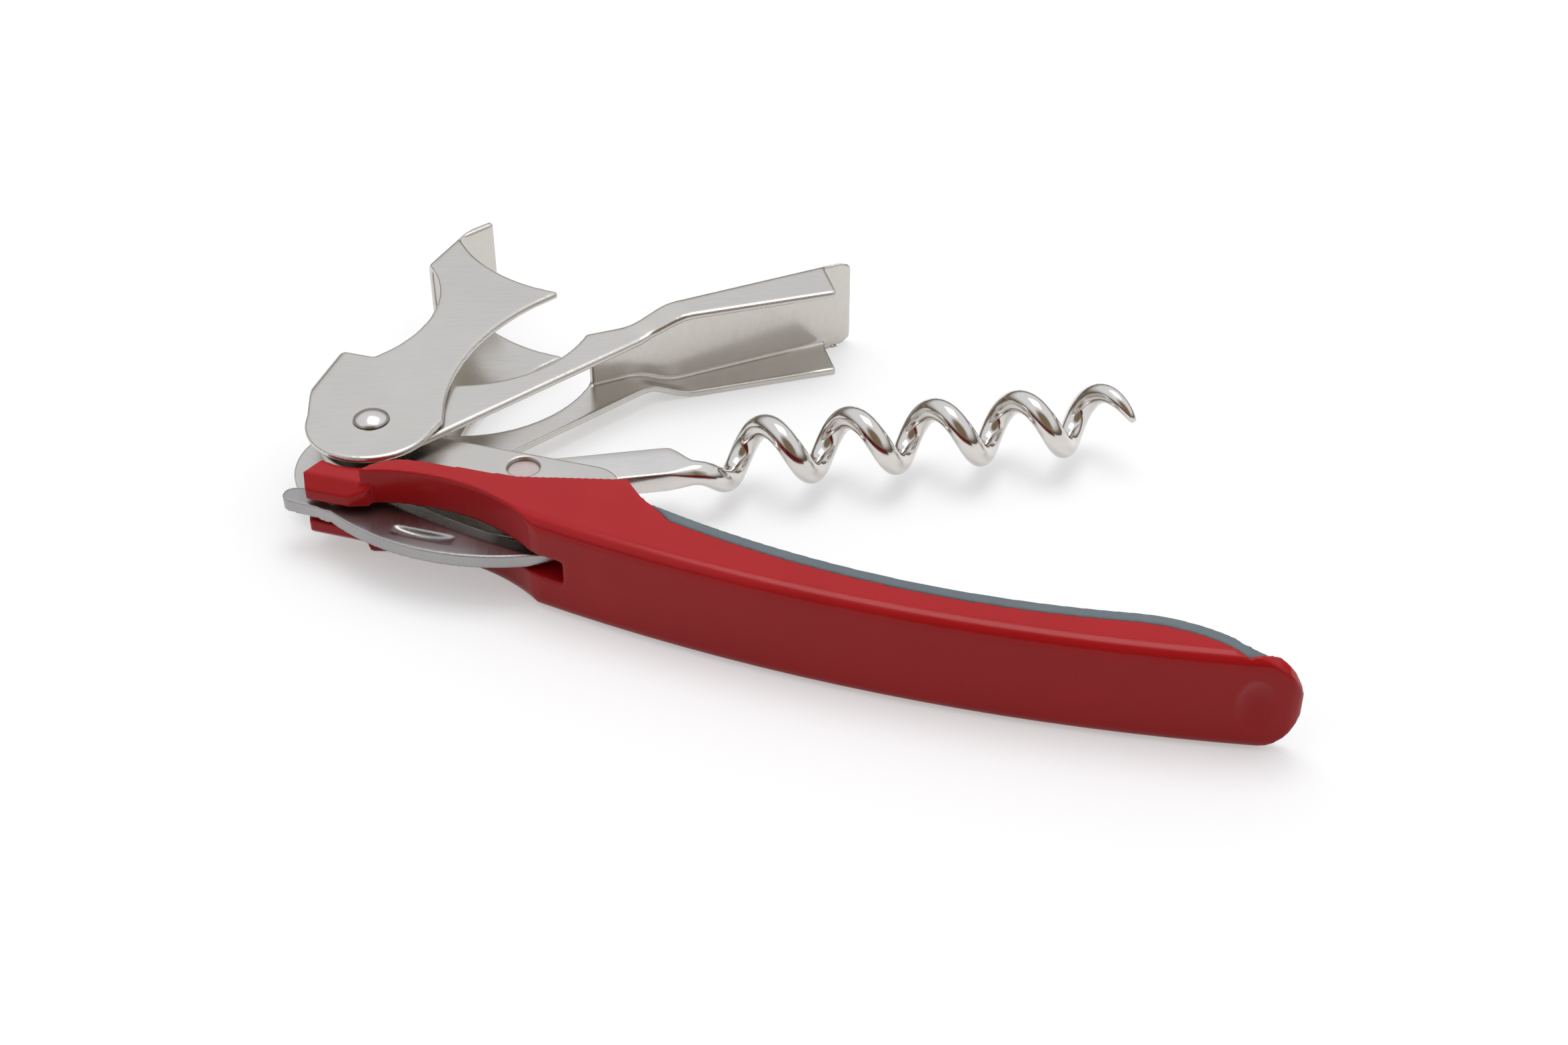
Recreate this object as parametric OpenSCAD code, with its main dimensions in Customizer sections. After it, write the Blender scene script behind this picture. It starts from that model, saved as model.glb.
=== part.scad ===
// Two-step waiter's corkscrew, lying on its side, in millimetres.
// X runs along the handle from the levers to the tail, Y towards the worm, Z up from the face it lies on.
// The origin is on that face, at the waist of the handle.

/* [Handle] */
// Thickness of the handle, which is its height as it lies
handle_thickness = 12.4; // [12:0.1:13.6]
// Radius of the handle's long back
back_radius = 223; // [205:1:245]
// Radius of the hollow inner edge
grip_radius = 120; // [110:1:130]
// Width of the handle at its waist
waist_width = 5.6; // [5:0.1:6.6]
// Where along X the back bulges most
back_apex_x = 7; // [5:0.5:9]
// Where along X the inner edge is hollowed most
grip_apex_x = 12; // [10:0.5:14]
// Radius of the swell in front of the tail
swell_radius = 21; // [19:0.5:24]
// Where along X the swell is highest
swell_x = 36.3; // [35:0.1:37.5]
// Distance along X from the waist to the end of the tail
tail_reach = 51.2; // [49.5:0.1:53]
// Width of the tail's end, seen from above
tail_width = 1.1; // [0.8:0.1:1.5]
// Radius of the turn from the back to the tail's end, seen from above
tail_round = 2.5; // [1.5:0.1:3]
// Radius of the tail's corners, seen from the back
tail_corner = 5.9; // [4:0.1:6]
// Radius along the outer edges
edge_round = 1.4; // [0.8:0.1:1.6]
// Wall between the worm channel and the back
channel_wall = 1.5; // [1.2:0.1:2]
// Width of the dimple in the tail
dimple_width = 7; // [5:0.1:8]
// Depth of the dimple in the tail
dimple_depth = 0.7; // [0.3:0.1:1]
// Distance of the dimple from the end of the swell, along X
dimple_offset = 1.9; // [1:0.1:2.4]

/* [Handle front] */
// Distance along X from the lever rivet to the front of the fork
fork_reach = 3.7; // [3.2:0.1:4.4]
// Distance along X from the lever rivet back to the front of the full wall
wall_set_back = 2.6; // [2:0.1:3.4]
// Thickness of the fork's front block
fork_thickness = 8.6; // [8:0.1:9]
// Width of the slope along the outer edges of the fork's front block
fork_slope = 1.4; // [0.8:0.1:1.5]
// Radius of the finger hollow over the knife
hollow_radius = 23.4; // [21:0.1:26]
// Depth of the finger hollow, measured from Y = 0
hollow_depth = 5; // [4.6:0.1:5.3]
// Distance along X from the lever rivet to the middle of the finger hollow
hollow_offset = 11.5; // [10.5:0.1:12.5]
// Radius between the finger hollow and the back
hollow_corner = 3; // [2:0.1:5]
// Room between the levers' round ends and the fork
fork_play = 0.4; // [0.3:0.05:0.8]
// Y of the inner face of the wall behind the knife
wall_y = 7.7; // [7.3:0.1:8.2]
// Radius of that wall's front corner
wall_round = 6.5; // [5.5:0.1:7]
// Distance that wall comes nearer to the lever rivet along its length
wall_lean = 0.5; // [0.2:0.1:0.8]
// Height of the horn beyond that wall
horn_rise = 3.1; // [2:0.1:4]
// Distance along X from the worm pin to the horn
horn_offset = 14.1; // [13:0.1:15]
// Radius of the curve from the horn to the inner edge
horn_radius = 16; // [13:0.5:20]
// Distance along X from the worm pin to where the wall turns out to the horn
wall_turn_offset = 2; // [1.6:0.1:2.4]

/* [Soft grip] */
// Height of the soft strip along the inner edge
grip_height = 1.5; // [1:0.1:2]
// Distance along X from the horn to the front end of the strip
grip_start = 3.4; // [3:0.1:3.8]
// Slant of the strip's end at the tail
grip_end_slant = 29; // [20:1:40]
// Distance of the strip's pointed end from the back
grip_end_rise = 0.9; // [0.6:0.1:1.2]
// Distance of the strip's pointed end behind the end of the swell
grip_end_reach = 0.6; // [0.3:0.1:0.9]
// Length over which the strip's end is rounded off, seen from the back
grip_end_run = 9.2; // [7:0.1:11]

/* [Pivots] */
// Distance from the lever rivet to the waist, along X
rivet_reach = 57.5; // [56:0.5:59]
// Distance from the lever rivet to the waist, along Y
rivet_height = 14.1; // [13.8:0.1:14.5]
// Distance along X from the lever rivet to the worm pin
worm_pin_offset = 18.6; // [18:0.1:19.4]
// Distance the worm pin lies further from the handle than the lever rivet
worm_pin_rise = 0.1; // [-0.4:0.1:0.6]
// Distance the knife pin lies nearer to the handle than the lever rivet
knife_pin_drop = 9.5; // [9.4:0.1:9.8]
// Distance the knife pin lies ahead of the lever rivet
knife_pin_ahead = 0.5; // [0:0.1:1]
// Diameter of the lever rivet's shank
rivet_d = 3.5; // [3:0.1:3.8]
// Diameter of the lever rivet's heads
rivet_head_d = 4.2; // [4.2:0.1:5]
// Height of the lever rivet's domes
rivet_head_h = 0.8; // [0.5:0.1:1]
// Outer diameter of the spacer on the lever rivet
spacer_d = 6.4; // [5.4:0.1:7]
// Diameter of the worm pin
worm_pin_d = 3.8; // [3.2:0.1:4.2]
// Depth of the worm pin's ends below the liners' faces
worm_pin_recess = 0.45; // [0.2:0.05:0.6]
// Diameter of the knife pin
knife_pin_d = 2.2; // [1.8:0.1:2.4]
// Length of the knife pin
knife_pin_length = 6.4; // [5.4:0.1:7]
// Running clearance of a bore round its pin
bore_play = 0.05; // [0.02:0.01:0.1]
// Clearance of a fixed pin in its hole
seat_play = 0.02; // [0.01:0.01:0.05]
// Side play between neighbouring plates
side_play = 0.2; // [0.1:0.05:0.25]

/* [Liners] */
// Thickness of the steel liners
liner_t = 0.9; // [0.8:0.05:1]
// Radius of the lower liner's nose
lower_nose = 9.6; // [8.6:0.1:9.8]
// Radius of the upper liner's nose
upper_nose = 6.2; // [5:0.1:7]
// Width of the liners beyond the worm pin
liner_margin = 2.5; // [2.4:0.1:2.9]
// Distance of the liners' rear end behind the worm pin
liner_tail = 12; // [11.6:0.1:12.6]
// Radius of the liners' rear shoulder
liner_shoulder = 4; // [3:0.1:5]
// Depth of the liners' rear foot in the wall
liner_foot = 3; // [2.6:0.1:3.4]
// Depth of the liners' neck in the wall
liner_neck = 1.5; // [1.2:0.1:1.8]
// Diameter of the pegs moulded through the liners
peg_d = 2; // [1.6:0.1:2.2]
// Distance of the first peg from the liners' rear end
peg_margin = 2.6; // [2:0.1:3]
// Distance between the pegs
peg_pitch = 4; // [3.4:0.1:4.4]
// Diameter of the bosses that carry the long lever
boss_d = 8.4; // [7.4:0.1:9]
// Height of the bosses that carry the long lever
boss_h = 0.65; // [0.5:0.05:0.7]

/* [Levers] */
// Thickness of the levers' sheet steel
sheet_t = 0.9; // [0.8:0.05:1]
// Angle of the short lever to the handle, as shown
short_angle = 90; // [84:1:96]
// Radius of the short lever's round end
short_round = 7.6; // [7.2:0.1:8]
// Distance from the rivet to the middle of the short lever's crescent
short_reach = 35; // [33:0.5:37]
// Radius of the crescent that stands on the bottle's rim
crescent_radius = 22; // [18:0.5:26]
// Radius of the cap lifter's mouth
cap_radius = 16.3; // [15:0.1:17]
// Distance from the rivet to the middle of the cap lifter's mouth
cap_reach = 21.3; // [20.5:0.1:22]
// Distance of the cap lifter's mouth behind the lever's centre line
cap_back = 2.3; // [2:0.1:2.6]
// Distance along the lever from the crescent to the centre of its arc
crescent_ahead = 18.8; // [18:0.1:19.6]
// Distance of the centre of the crescent's arc in front of the lever's centre line
crescent_drop = 11; // [10.4:0.1:11.6]
// Distance of the crescent's rear tip beyond its middle
rear_tip = 6.5; // [6:0.1:7]
// Distance of the crescent's front tip short of its middle
front_tip = 1.3; // [1:0.1:1.6]
// Width of the blunt end of the crescent's front tip
front_tip_width = 3; // [2.6:0.1:3.4]
// Length that the front tip's point loses to its blunt end
front_tip_loss = 0.6; // [0.5:0.1:0.9]
// Height of the short lever's tab above its round end
tab_rise = 2.4; // [2:0.1:2.8]
// Distance along the short lever from the rivet to its tab
tab_from = 4.7; // [4.3:0.1:5.1]
// Distance along the short lever from its tab to the middle of the cap lifter's mouth
tab_clear = 9.3; // [9:0.1:9.6]
// Distance from the cap lifter's mouth to the crescent's rear tip
lip_base = 7.2; // [6.8:0.1:7.6]
// Radius of the short lever's hollow front edge
front_radius = 29.4; // [27:0.1:32]
// Distance along the short lever from the rivet to the middle of its front edge
front_reach = 14.6; // [14:0.1:15.2]
// Distance of the front edge's middle from the short lever's centre line
front_depth = 5.3; // [5:0.1:5.6]
// Length of the short lever's rim lip
short_lip = 5; // [3:0.1:6]
// Angle of the long lever to the handle, as shown
long_angle = 58; // [56:1:62]
// Radius of the long lever's round end
long_round = 6.1; // [5.6:0.1:6.6]
// Distance from the rivet to the bend of the long lever
long_bend = 36.5; // [35:0.5:38]
// Length of the long lever's wide end
long_foot = 23.5; // [21.5:0.5:25]
// Angle of the wide end to the rest of the long lever
long_bend_angle = 25; // [22:1:28]
// Depth of the channel at the long lever's end
long_depth = 7; // [6:0.1:8]
// Length of the long lever's rim lip
long_lip = 3.8; // [3:0.1:5]
// Length over which the long lever widens
long_flare = 6.5; // [5:0.1:8]
// Radius of the corners of the long lever's rim lip
long_lip_corner = 1.8; // [1:0.1:2.4]
// Radius of the recess in the back of the long lever
recess_radius = 15.6; // [14:0.1:17]
// Distance along the long lever from the rivet to the middle of that recess
recess_reach = 22.3; // [21.5:0.1:23]
// Distance of that recess in front of the long lever's centre line
recess_depth = 2.85; // [2.5:0.05:3.2]
// Distance along the long lever from the rivet to the front of its web
web_from = 30.8; // [30.2:0.1:31.4]
// Distance of the web's front from the long lever's centre line
web_drop = 0.3; // [0:0.1:0.6]

/* [Worm] */
// Angle of the worm to the handle, as shown
worm_angle = 26.5; // [22:0.5:30]
// Angle of the worm to the handle when folded
worm_folded = -9; // [-9:0.5:-7]
// Diameter of the worm's wire
wire_d = 2.8; // [2.4:0.1:3]
// Outside diameter of the helix
worm_d = 8.65; // [8:0.05:8.9]
// Pitch of the helix
worm_pitch = 10.15; // [9.5:0.05:10.4]
// Turns of the helix
worm_turns = 4.95; // [4.5:0.05:5]
// Distance from the worm pin to the start of the helix
worm_neck = 19.7; // [19:0.1:20.4]
// Distance of the helix axis from the worm pin's centre line
worm_offset = 1.6; // [1.2:0.1:1.8]
// Width of the forged flat
flat_width = 5.3; // [5:0.1:5.6]
// Thickness of the forged flat
flat_t = 2.6; // [2.4:0.1:2.7]
// Diameter of the forged flat's eye
flat_eye = 6; // [5.6:0.1:6.2]
// Distance of the flat's shoulder from the start of the helix
flat_shoulder = 1.7; // [1.3:0.1:2.1]
// Length over which the wire turns from the flat into the helix
ease = 4; // [3:0.1:5]
// Room round the worm in its channel
channel_play = 0.35; // [0.3:0.05:0.5]
// Distance of the channel's front behind the folded wire
channel_front = 0.5; // [0.3:0.1:0.7]

/* [Knife] */
// Thickness of the knife
knife_t = 1.6; // [1.2:0.1:1.8]
// Length of the blade from its pin
knife_length = 27.6; // [25:0.1:28]
// Radius of the knife's spine
spine_radius = 27; // [25:0.5:30]
// Distance of the knife's widest point from its pin
spine_reach = 13.5; // [12.5:0.1:14.5]
// Distance of the spine from the pin's centre line
spine_drop = 6; // [5.5:0.1:6.3]
// Radius of the cutting edge
blade_radius = 80; // [70:1:100]
// Distance of the cutting edge's lowest point beyond the blade's end
blade_overrun = 4.7; // [4:0.1:6]
// Depth of the cutting edge's lowest point below the pin's centre line
blade_drop = 1.4; // [1:0.1:1.8]
// Width of the ground bevel
bevel_width = 2.2; // [1:0.1:3]
// Radius of the knife's eye
knife_eye = 2.7; // [2.3:0.1:2.8]
// Distance of the thumb tab from the pin
tab_reach = 4.8; // [4.2:0.1:5.2]
// Radius of the thumb tab
tab_round = 1.25; // [1:0.05:1.4]
// Distance of the thumb tab from the pin's centre line
tab_drop = 0.9; // [0.7:0.1:1.1]
// Distance of the ground bevel from the knife's eye
bevel_start = 1; // [0.6:0.1:1.4]
// Length of the nail nick
nick_length = 7.4; // [5:0.1:9]
// Width of the nail nick
nick_width = 1.3; // [0.9:0.1:1.6]
// Depth of the nail nick
nick_depth = 0.6; // [0.3:0.05:0.8]
// Distance of the nail nick from the spine
nick_margin = 2.5; // [2:0.1:3]

/* [Hidden] */

$fa = 1;
$fs = 0.2;
long_arc = 360;
cut = 1;
far = 200;
// Share of a curve's radius at which a straight edge runs into it
run_in = 0.98;

mid = handle_thickness / 2;

// Half heights of the plates, counted outwards from the middle plane
liner_in = flat_t / 2 + side_play;
liner_out = liner_in + liner_t;
long_in = liner_out + boss_h + side_play;
long_out = long_in + sheet_t;
short_in = long_out + side_play;
short_out = short_in + sheet_t;
head_seat = short_out + side_play / 2;
channel_half = worm_d / 2 + channel_play;

lever_pivot = [-rivet_reach, rivet_height];
worm_pivot = lever_pivot + [worm_pin_offset, worm_pin_rise];
knife_pivot = lever_pivot + [-knife_pin_ahead, -knife_pin_drop];

// Points where two circles meet, on the left (side 1) or right (side -1) of the line from a to b
function circles_meet(a, a_r, b, b_r, side) =
    let (d = norm(b - a), along = (a_r * a_r - b_r * b_r + d * d) / (2 * d), ahead = (b - a) / d)
    a + along * ahead + side * sqrt(a_r * a_r - along * along) * [-ahead[1], ahead[0]];

function toward(a, b, length) = a + length * (b - a) / norm(b - a);
function bearing(a, b) = atan2(b[1] - a[1], b[0] - a[0]);
function polar(radius, angle) = radius * [cos(angle), sin(angle)];

back_centre = [back_apex_x, back_radius - waist_width / 2];
grip_centre = [grip_apex_x, grip_radius + waist_width / 2];
// The swell runs on from the hollow inner edge without a corner
swell_span = grip_radius + swell_radius;
swell_ahead = swell_x - grip_apex_x;
swell_centre = grip_centre + [swell_ahead, -sqrt(swell_span * swell_span - swell_ahead * swell_ahead)];
swell_from = toward(grip_centre, swell_centre, grip_radius)[0];
hollow_centre = [lever_pivot[0] + hollow_offset, hollow_depth - hollow_radius];
fork_front = lever_pivot[0] - fork_reach;
wall_front = lever_pivot[0] + wall_set_back;
fork_room = short_round + fork_play;
nose_floor = lever_pivot[1] - sqrt(fork_room * fork_room - fork_reach * fork_reach) + side_play;

// Rounded corner between the finger hollow and the back
corner_centre = circles_meet(back_centre, back_radius - hollow_corner,
                             hollow_centre, hollow_radius + hollow_corner, 1);
corner_back = toward(back_centre, corner_centre, back_radius);
corner_hollow = toward(hollow_centre, corner_centre, hollow_radius);
corner_tip = circles_meet(back_centre, back_radius, hollow_centre, hollow_radius, 1);

// Y of the back, the hollow inner edge and the swell at a given X
function grip_y(x) = grip_centre[1] - sqrt(grip_radius * grip_radius - pow(x - grip_centre[0], 2));
function back_y(x) = back_centre[1] - sqrt(back_radius * back_radius - pow(x - back_centre[0], 2));
function swell_y(x) = swell_centre[1] + sqrt(swell_radius * swell_radius - pow(x - swell_centre[0], 2));

// The tail: the inner edge runs straight from the swell, and the back turns in towards its end
tail_start_x = swell_x + 0.4 * swell_radius;
tail_start = [tail_start_x, swell_y(tail_start_x)];
tail_end = [tail_reach, back_y(tail_reach) + tail_width];
tail_turn_x = tail_reach - 0.9 * tail_round;
tail_turn = [tail_turn_x, back_y(tail_turn_x) + tail_round];
tail_back = [tail_turn_x, back_y(tail_turn_x)];
grip_end = [tail_start_x + grip_end_reach, back_y(tail_start_x) + grip_end_rise];

// The horn stands where the wall behind the knife turns towards the worm, and curves down to the strip
horn = [worm_pivot[0] + horn_offset, wall_y + horn_rise];
grip_from = [horn[0] + grip_start, grip_y(horn[0] + grip_start)];
horn_centre = circles_meet(horn, horn_radius, grip_from, horn_radius, 1);
horn_turn = 50;
wall_turn = [worm_pivot[0] + wall_turn_offset, wall_y];
wall_corner = [wall_front + wall_round, wall_y - wall_lean - wall_round];

// The worm channel runs from the horn to the swell
channel_start = worm_pivot[0] + worm_neck - wire_d / 2 + channel_front;
channel_end = worm_pivot[0] + worm_neck + worm_pitch * worm_turns + 2 * wire_d;

module at(p, z = 0) {
    translate([p[0], p[1], z]) children();
}

module slab(half) {
    translate([0, 0, mid - half]) linear_extrude(2 * half) children();
}

// Cuts the tail's end back to a turn, in facets
module tail_cut() {
    polygon(concat([for (a = [-76 : 16 : -12]) tail_turn + polar(tail_round, a)],
                   [tail_turn + [2 * tail_round, -tail_round / 4],
                    tail_turn + [2 * tail_round, -3 * tail_round],
                    tail_turn + [-tail_round / 3, -3 * tail_round]]));
}

// Everything on the tail's side of the horn's curve, which runs out into a straight line
module horn_space() {
    at(horn_centre) circle(horn_radius, $fn = long_arc);
    at(horn_centre) rotate(horn_turn) translate([-run_in * horn_radius, -far]) square([2 * far, far]);
}

// What lies beyond the inner edge, set back by lip; the whole handle's edge has no lip and keeps the tail
module inner_waste(lip) {
    run = tail_end - tail_start;
    intersection() {
        at(grip_centre) circle(grip_radius + lip, $fn = long_arc);
        horn_space();
        translate([-far, -far]) square([far + swell_from, 2 * far]);
    }
    difference() {
        translate([swell_from, -far / 2]) square(far);
        at(swell_centre) circle(swell_radius - lip, $fn = long_arc);
        if (lip == 0)
            polygon([tail_start - run, tail_start + 3 * run, [far, -far], [tail_start_x - run[0], -far]]);
    }
}

// Everything in front of the strip's slanted end
module before_grip_end() {
    ahead = polar(far, grip_end_slant);
    polygon([grip_end - ahead, grip_end + ahead, [-far, far], [-2 * far, -far]]);
}

// What the soft strip takes from the handle
module grip_area() {
    intersection() {
        inner_waste(grip_height);
        before_grip_end();
    }
}

// Outline of the whole handle
module handle_outline() {
    beyond_horn = toward(horn, wall_turn, -2 * cut);
    difference() {
        polygon(concat([[wall_front, hollow_centre[1]], [far, hollow_centre[1]], [far, beyond_horn[1]],
                        beyond_horn, wall_turn],
                       [for (a = [90 : 10 : 180]) wall_corner + polar(wall_round, a)]));
        difference() {
            translate([corner_hollow[0] - hollow_corner, -far]) square([2 * far, far + 2 * horn[1]]);
            at(back_centre) circle(back_radius, $fn = long_arc);
        }
        inner_waste(0);
        at(hollow_centre) circle(hollow_radius, $fn = long_arc);
        polygon([3 * corner_hollow - 2 * corner_back, 3 * corner_back - 2 * corner_hollow,
                 2 * corner_tip - corner_centre]);
        tail_cut();
    }
}

// What a rounded edge takes off the corner of an extrusion, at its top and bottom, in three facets
module edge_waste() {
    near = polar(edge_round, 30);
    high = polar(edge_round, 60);
    out = [2 * edge_round - near[0], -near[1]];
    over = [-high[0], 2 * edge_round - high[1]];
    beyond = edge_round + 2 * cut;
    for (low = [0, 1])
        translate([0, low * handle_thickness])
            mirror([0, 1 - low])
                translate([0, -edge_round])
                    polygon([out, near, high, over, [beyond, over[1]], [beyond, out[1]]]);
}

// Rounds the edges of an arc that is convex outwards
module round_convex(centre, radius, from, to) {
    at(centre)
        rotate(from)
            rotate_extrude(angle = to - from, $fn = long_arc)
                translate([radius - edge_round, 0]) edge_waste();
}

// Rounds the edges of an arc that is hollow
module round_hollow(centre, radius, from, to) {
    at(centre)
        rotate(from)
            rotate_extrude(angle = to - from, $fn = long_arc)
                translate([radius + edge_round, 0]) mirror([1, 0]) edge_waste();
}

// The handle as it is seen from the back, with the tail's corners rounded over a length of run
module side_view(run) {
    corner = tail_reach - run;
    low = [corner, tail_corner];
    high = [corner, handle_thickness - tail_corner];
    function turn(a) = [run * cos(a), tail_corner * sin(a)];
    translate([0, far / 2, 0])
        rotate([90, 0, 0])
            linear_extrude(far)
                polygon(concat([[-far, handle_thickness + cut], [-far, -cut], [corner - 3 * cut, -cut]],
                               [for (a = [-82 : 12 : -10]) low + turn(a)],
                               [for (a = [10 : 12 : 82]) high + turn(a)],
                               [[corner - 3 * cut, handle_thickness + cut]]));
}

// The red body before its slots are cut, with its outer edges rounded
module rounded_body() {
    difference() {
        difference() {
            intersection() {
                linear_extrude(handle_thickness)
                    difference() {
                        handle_outline();
                        grip_area();
                    }
                side_view(tail_corner);
            }
            round_convex(back_centre, back_radius,
                         bearing(back_centre, corner_back) - 4, bearing(back_centre, tail_back) + 3);
        }
        round_hollow(hollow_centre, hollow_radius, bearing(hollow_centre, corner_hollow) - 20,
                     bearing(hollow_centre, [wall_front, hollow_centre[1] + hollow_radius]) + 20);
    }
}

// Space in the handle for the folded worm
module worm_channel() {
    slab(channel_half)
        intersection() {
            at(back_centre) circle(back_radius - channel_wall, $fn = long_arc);
            translate([channel_start, -far / 2]) square([channel_end - channel_start, far]);
        }
}

// Slot for the worm's flat as it folds
module flat_slot() {
    slab(liner_in)
        at(worm_pivot)
            rotate(worm_folded)
                translate([-flat_width, -worm_d / 2 + worm_offset - channel_play])
                    square([worm_neck + 2 * wire_d, far]);
}

// Slot for the knife between the two cheeks of the fork
module knife_slot() {
    slot_end = knife_pivot[0] + knife_length + knife_t;
    slab(liner_in)
        translate([fork_front - cut, -far / 2]) square([slot_end - fork_front + cut, far]);
}

// Outline of a liner, the steel plate that carries the pivots; grow makes the pocket it sits in
module liner_outline(nose, grow) {
    top = worm_pivot[1] + liner_margin + grow;
    rear = worm_pivot[0] + liner_tail + grow;
    foot = wall_y - liner_foot - grow;
    neck = wall_y - liner_neck - grow;
    intersection() {
        at(lever_pivot) circle(nose + grow);
        translate([-far, nose_floor - grow]) square(2 * far);
    }
    translate([lever_pivot[0], neck]) square([worm_pin_offset, top - neck]);
    translate([wall_turn[0] - grow, foot])
        square([rear - wall_turn[0] + grow, top - liner_shoulder - foot]);
    translate([worm_pivot[0], neck]) square([liner_tail - liner_shoulder + grow, top - neck]);
    translate([rear - liner_shoulder, top - liner_shoulder]) circle(liner_shoulder);
}

module liner_pegs(play) {
    for (back = [peg_margin, peg_margin + peg_pitch])
        translate([worm_pivot[0] + liner_tail - back, wall_y, 0])
            cylinder(d = peg_d + 2 * play, h = handle_thickness);
}

// Front block of the fork, lower than the wall behind it, with its outer edges sloped and its front blunt
module fork_block() {
    floor_y = knife_pivot[1] - knife_pin_d;
    half = fork_thickness / 2;
    slope = fork_slope;
    rear = wall_corner[0];
    shelf = wall_y - wall_lean - cut / 2;
    difference() {
        intersection() {
            translate([fork_front - cut, 0, mid])
                rotate([90, 0, 90])
                    linear_extrude(rear - fork_front + cut)
                        polygon([[floor_y, half - slope], [floor_y + slope, half], [rivet_height, half],
                                 [rivet_height, -half], [floor_y + slope, -half], [floor_y, slope - half]]);
            linear_extrude(handle_thickness)
                polygon([[fork_front + slope, floor_y - slope], [fork_front, floor_y + slope],
                         [lever_pivot[0], rivet_height + cut], [wall_front + slope + cut, wall_y],
                         [rear, shelf], [rear, (hollow_depth + shelf) / 2],
                         [wall_front + slope + cut, hollow_depth], [wall_front + cut, floor_y - slope]]);
        }
        at(hollow_centre)
            cylinder(r = hollow_radius - slope / 2, h = 3 * far, center = true, $fn = long_arc);
    }
}

module handle_body() {
    color("firebrick")
        union() {
            difference() {
                union() {
                    rounded_body();
                    fork_block();
                }
                worm_channel();
                flat_slot();
                knife_slot();
                at(lever_pivot) cylinder(r = fork_room, h = 3 * far, center = true);
                slab(liner_out + seat_play) liner_outline(upper_nose, seat_play);
                at(knife_pivot, mid)
                    cylinder(d = knife_pin_d + 2 * seat_play,
                             h = knife_pin_length + 2 * seat_play, center = true);
                tail_dimple();
            }
            intersection() {
                liner_pegs(0);
                slab(liner_out + cut) translate([-far, -far]) square(2 * far);
            }
        }
}

// Oval dimple in the back of the tail
module tail_dimple() {
    small = dimple_width / 2;
    large = (dimple_width * dimple_width / 4 + dimple_depth * dimple_depth) / (2 * dimple_depth);
    spot = [tail_start_x + dimple_offset, back_y(tail_start_x + dimple_offset)];
    outward = bearing(back_centre, spot);
    at(spot + polar(large - dimple_depth, outward), mid)
        rotate([0, 90, outward + 90])
            rotate_extrude()
                translate([large - small, 0]) circle(small);
}

module soft_grip() {
    color("slategray")
        difference() {
            intersection() {
                linear_extrude(handle_thickness)
                    intersection() {
                        handle_outline();
                        grip_area();
                    }
                side_view(grip_end_run);
            }
            worm_channel();
            flat_slot();
        }
}

// A liner, with its boss on the upper (side 1) or lower (side -1) face
module liner(nose, low, side) {
    color("gainsboro")
        translate([0, 0, low])
            difference() {
                union() {
                    linear_extrude(liner_t) liner_outline(nose, 0);
                    at(lever_pivot, side > 0 ? liner_t / 2 : -boss_h)
                        cylinder(d = boss_d, h = liner_t / 2 + boss_h);
                }
                at(lever_pivot, -2 * cut) cylinder(d = rivet_d + 2 * seat_play, h = liner_t + 4 * cut);
                at(worm_pivot, -cut) cylinder(d = worm_pin_d + 2 * seat_play, h = liner_t + 2 * cut);
                translate([0, 0, -cut]) liner_pegs(seat_play);
            }
}

module upper_liner() {
    liner(upper_nose, mid + liner_in, 1);
}

module lower_liner() {
    liner(lower_nose, mid - liner_out, -1);
}

module rivet_head() {
    sphere_r = (rivet_head_d * rivet_head_d / 4 + rivet_head_h * rivet_head_h) / (2 * rivet_head_h);
    intersection() {
        translate([0, 0, rivet_head_h - sphere_r]) sphere(sphere_r);
        cylinder(d = rivet_head_d + cut, h = rivet_head_h + cut);
    }
}

module lever_rivet() {
    color("silver")
        at(lever_pivot, mid) {
            cylinder(d = rivet_d, h = 2 * head_seat, center = true);
            translate([0, 0, head_seat]) rivet_head();
            mirror([0, 0, 1]) translate([0, 0, head_seat]) rivet_head();
        }
}

module rivet_spacer() {
    color("darkgray")
        at(lever_pivot, mid)
            difference() {
                cylinder(d = spacer_d, h = 2 * liner_in, center = true);
                cylinder(d = rivet_d + 2 * seat_play, h = far, center = true);
            }
}

module worm_pin() {
    color("silver")
        at(worm_pivot, mid)
            cylinder(d = worm_pin_d, h = 2 * (liner_out - worm_pin_recess), center = true);
}

module knife_pin() {
    color("silver")
        at(knife_pivot, mid) cylinder(d = knife_pin_d, h = knife_pin_length, center = true);
}

// Short lever, with u along the lever and v to its back
tab_back = short_round + tab_rise;
tab_to = cap_reach - tab_clear;
tab_tip = [tab_from, tab_back];
tab_tangent = bearing([0, 0], tab_tip) + acos(short_round / norm(tab_tip));
cap_centre = [cap_reach, cap_radius + cap_back];
crescent_centre = [short_reach + crescent_ahead, -crescent_drop];
tip_back = circles_meet(crescent_centre, crescent_radius, [0, 0], short_reach + rear_tip, -1);
tip_front = circles_meet(crescent_centre, crescent_radius, [0, 0], short_reach - front_tip, 1);
lip_root = circles_meet(cap_centre, cap_radius, [0, 0], norm(tip_back) - lip_base, 1);
front_centre = [front_reach, -front_depth - front_radius];

lip_turn = 26;
root_angle = bearing(lip_root, tip_back);
lip_angle = root_angle - lip_turn;
lip_start = lip_root - polar(cut / 2, root_angle);
lip_tip = tip_back + polar(short_lip, lip_angle);
lip_in = [polar(sheet_t, root_angle - 90), polar(sheet_t, lip_angle - 90)];
lip_bend = tip_back + polar(sheet_t / cos(lip_turn / 2), root_angle - lip_turn / 2 - 90);
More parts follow.
